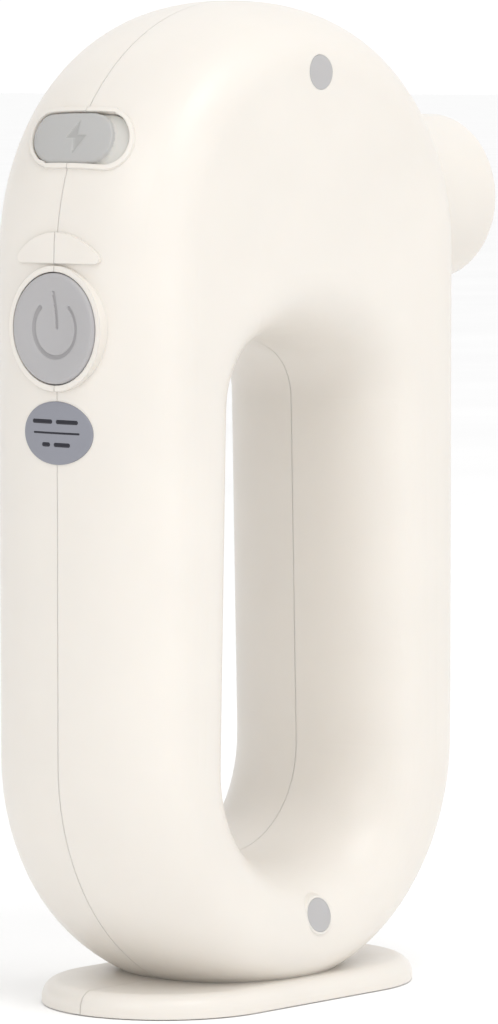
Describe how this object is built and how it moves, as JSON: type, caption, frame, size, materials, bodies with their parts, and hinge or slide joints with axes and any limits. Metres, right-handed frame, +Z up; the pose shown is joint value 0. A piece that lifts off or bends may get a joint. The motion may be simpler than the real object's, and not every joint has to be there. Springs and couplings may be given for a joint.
{
  "type": "massage gun",
  "caption": "Ring-shaped percussion massage gun with an open finger hole, a flat oval foot, a rim power button, a covered charging port and a pull-off round head on a crank-driven plunger.",
  "frame": {"origin": "middle of the foot pad's underside, on the surface it stands on", "axes": "+Z up along the ring's long axis, +X towards the massage head along the stroke, Y across the ring through the finger hole; the parting plane is Y = 0"},
  "size_m": [0.116, 0.0495, 0.2],
  "materials": {
    "casing": "satin warm-white moulded ABS with a fine spark-eroded texture",
    "soft_grey": "matt grey silicone",
    "cover_grey": "matt light grey silicone",
    "plug_grey": "matt light grey silicone",
    "label": "satin printed polyester film",
    "foot_rubber": "matt grey silicone",
    "seal_black": "black nitrile rubber",
    "nylon_black": "black glass-filled nylon",
    "acetal": "white acetal",
    "steel": "machined steel",
    "zinc_steel": "zinc-plated steel",
    "bearing_steel": "polished bearing steel",
    "magnet": "bonded magnet",
    "laminations": "stacked electrical steel",
    "copper": "enamelled copper wire",
    "bracket_alloy": "stamped aluminium",
    "cell_sleeve": "heat-shrunk sleeve over a steel can",
    "nickel": "nickel strip",
    "board_green": "solder-masked glass-epoxy board",
    "chip_black": "moulded epoxy",
    "lead_red": "PVC insulation",
    "lead_black": "PVC insulation",
    "lead_blue": "PVC insulation"
  },
  "bodies": {
    "casing": {"battery_cell_far": "cell_sleeve", "battery_cell_near": "cell_sleeve", "battery_lead_black": "lead_black", "battery_lead_red": "lead_red", "battery_link": "nickel", "battery_tabs": "nickel", "board_plug": "acetal", "charge_lead_black": "lead_black", "charge_lead_red": "lead_red", "control_board": "board_green", "control_parts": "chip_black", "driver_board": "board_green", "driver_parts": "chip_black", "dust_ring": "seal_black", "foot_pad": "foot_rubber", "guide_bush": "acetal", "guide_sleeve": "nylon_black", "housing_far": "casing", "housing_near": "casing", "housing_screw_low": "zinc_steel", "housing_screw_top": "zinc_steel", "motor_bearing_front": "bearing_steel", "motor_bearing_rear": "bearing_steel", "motor_bracket": "bracket_alloy", "motor_isolator_1": "seal_black", "motor_isolator_2": "seal_black", "motor_isolator_3": "seal_black", "motor_lead_1": "lead_red", "motor_lead_2": "lead_blue", "motor_lead_3": "lead_black", "motor_screw_1": "zinc_steel", "motor_screw_2": "zinc_steel", "motor_screw_3": "zinc_steel", "motor_tube": "bracket_alloy", "port_cover_anchor": "cover_grey", "protection_board": "board_green", "rim_label": "label", "screw_cover_low": "plug_grey", "screw_cover_top": "plug_grey", "stator_coils": "copper", "stator_core": "laminations", "switch_body": "chip_black", "usb_board": "board_green", "usb_socket": "zinc_steel"},
    "power_button": {"power_button": "soft_grey", "switch_plunger": "chip_black"},
    "port_cover": {"port_cover": "cover_grey"},
    "rotor": {"crank_disc": "steel", "crank_pin": "steel", "roller_inner_race": "bearing_steel", "roller_outer_race": "bearing_steel", "roller_balls": "bearing_steel", "rotor_bell": "steel", "rotor_magnets": "magnet", "motor_shaft": "steel"},
    "plunger": {"plunger": "steel", "yoke": "steel"},
    "massage_head": {"massage_head": "casing", "head_stem": "acetal", "head_ring": "seal_black"}
  },
  "joints": [
    {"name": "stroke", "type": "slide", "parent": "casing", "child": "plunger", "axis": [1, 0, 0], "range_m": [-0.004, 0.004]},
    {"name": "crank_turn", "type": "hinge", "parent": "casing", "child": "rotor", "pos_m": [-0.014, 0, 0.1696], "axis": [0, 1, 0], "range_deg": [-90, 90]},
    {"name": "head_pull", "type": "slide", "parent": "plunger", "child": "massage_head", "axis": [1, 0, 0], "range_m": [0, 0.035]},
    {"name": "button_press", "type": "slide", "parent": "casing", "child": "power_button", "axis": [1, 0, 0], "range_m": [0, 0.0007], "stiffness_N_per_m": 900},
    {"name": "port_cover_fold", "type": "hinge", "parent": "casing", "child": "port_cover", "pos_m": [-0.04383, 0.0117, 0.17271], "axis": [-0.4648, 0, -0.8854], "range_deg": [0, 100]}
  ],
  "couplings": [
    {"joint": "stroke", "follows": "crank_turn", "m_per_rad": 0.0025464}
  ]
}
